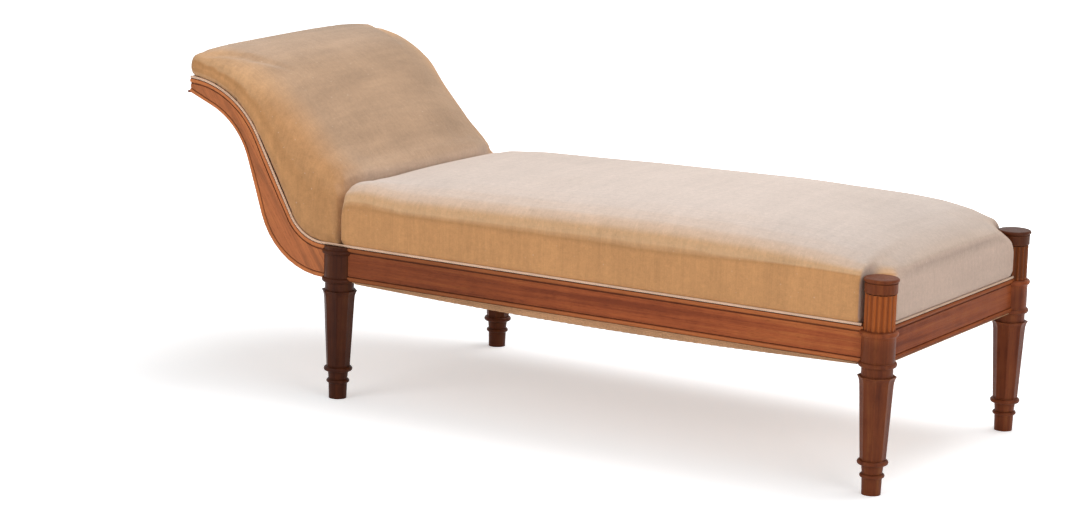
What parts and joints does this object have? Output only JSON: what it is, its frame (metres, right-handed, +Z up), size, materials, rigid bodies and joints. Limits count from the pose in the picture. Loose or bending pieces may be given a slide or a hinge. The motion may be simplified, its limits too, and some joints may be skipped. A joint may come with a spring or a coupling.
{
  "type": "recamier",
  "caption": "Upholstered daybed with an outscrolled head end, moulded wooden rails, octagonal legs with turned feet, and fluted posts at the foot end.",
  "frame": {"origin": "at floor level, under the middle of the overall length and width", "axes": "+X toward the foot end, the near long side faces -Y, +Z up"},
  "size_m": [1.7466, 0.7362, 0.7399],
  "materials": {
    "mahogany": "french polished",
    "frame_wood": "bare",
    "steel": "plain",
    "jute": "woven",
    "canvas": "woven",
    "velvet": "cut pile",
    "gimp": "braided"
  },
  "bodies": {
    "root": {"leg_head_near": "mahogany", "leg_head_far": "mahogany", "leg_foot_near": "mahogany", "leg_foot_far": "mahogany", "side_rail_near": "mahogany", "side_rail_far": "mahogany", "foot_rail": "mahogany", "stile_near": "mahogany", "stile_far": "mahogany", "crest_rail": "mahogany", "head_rail": "frame_wood", "back_stay": "frame_wood", "brace_head_near": "frame_wood", "brace_head_far": "frame_wood", "brace_foot_near": "frame_wood", "brace_foot_far": "frame_wood", "dowels": "frame_wood", "brace_screws": "steel", "springs": "steel", "webbing_long": "jute", "webbing_cross": "jute", "back_webbing": "jute", "hessian": "jute", "bottoming": "canvas", "back_cloth": "velvet", "seat_pad": "velvet", "back_pad": "velvet", "gimp_near": "gimp", "gimp_far": "gimp", "gimp_foot": "gimp", "gimp_crest": "gimp"}
  },
  "joints": []
}
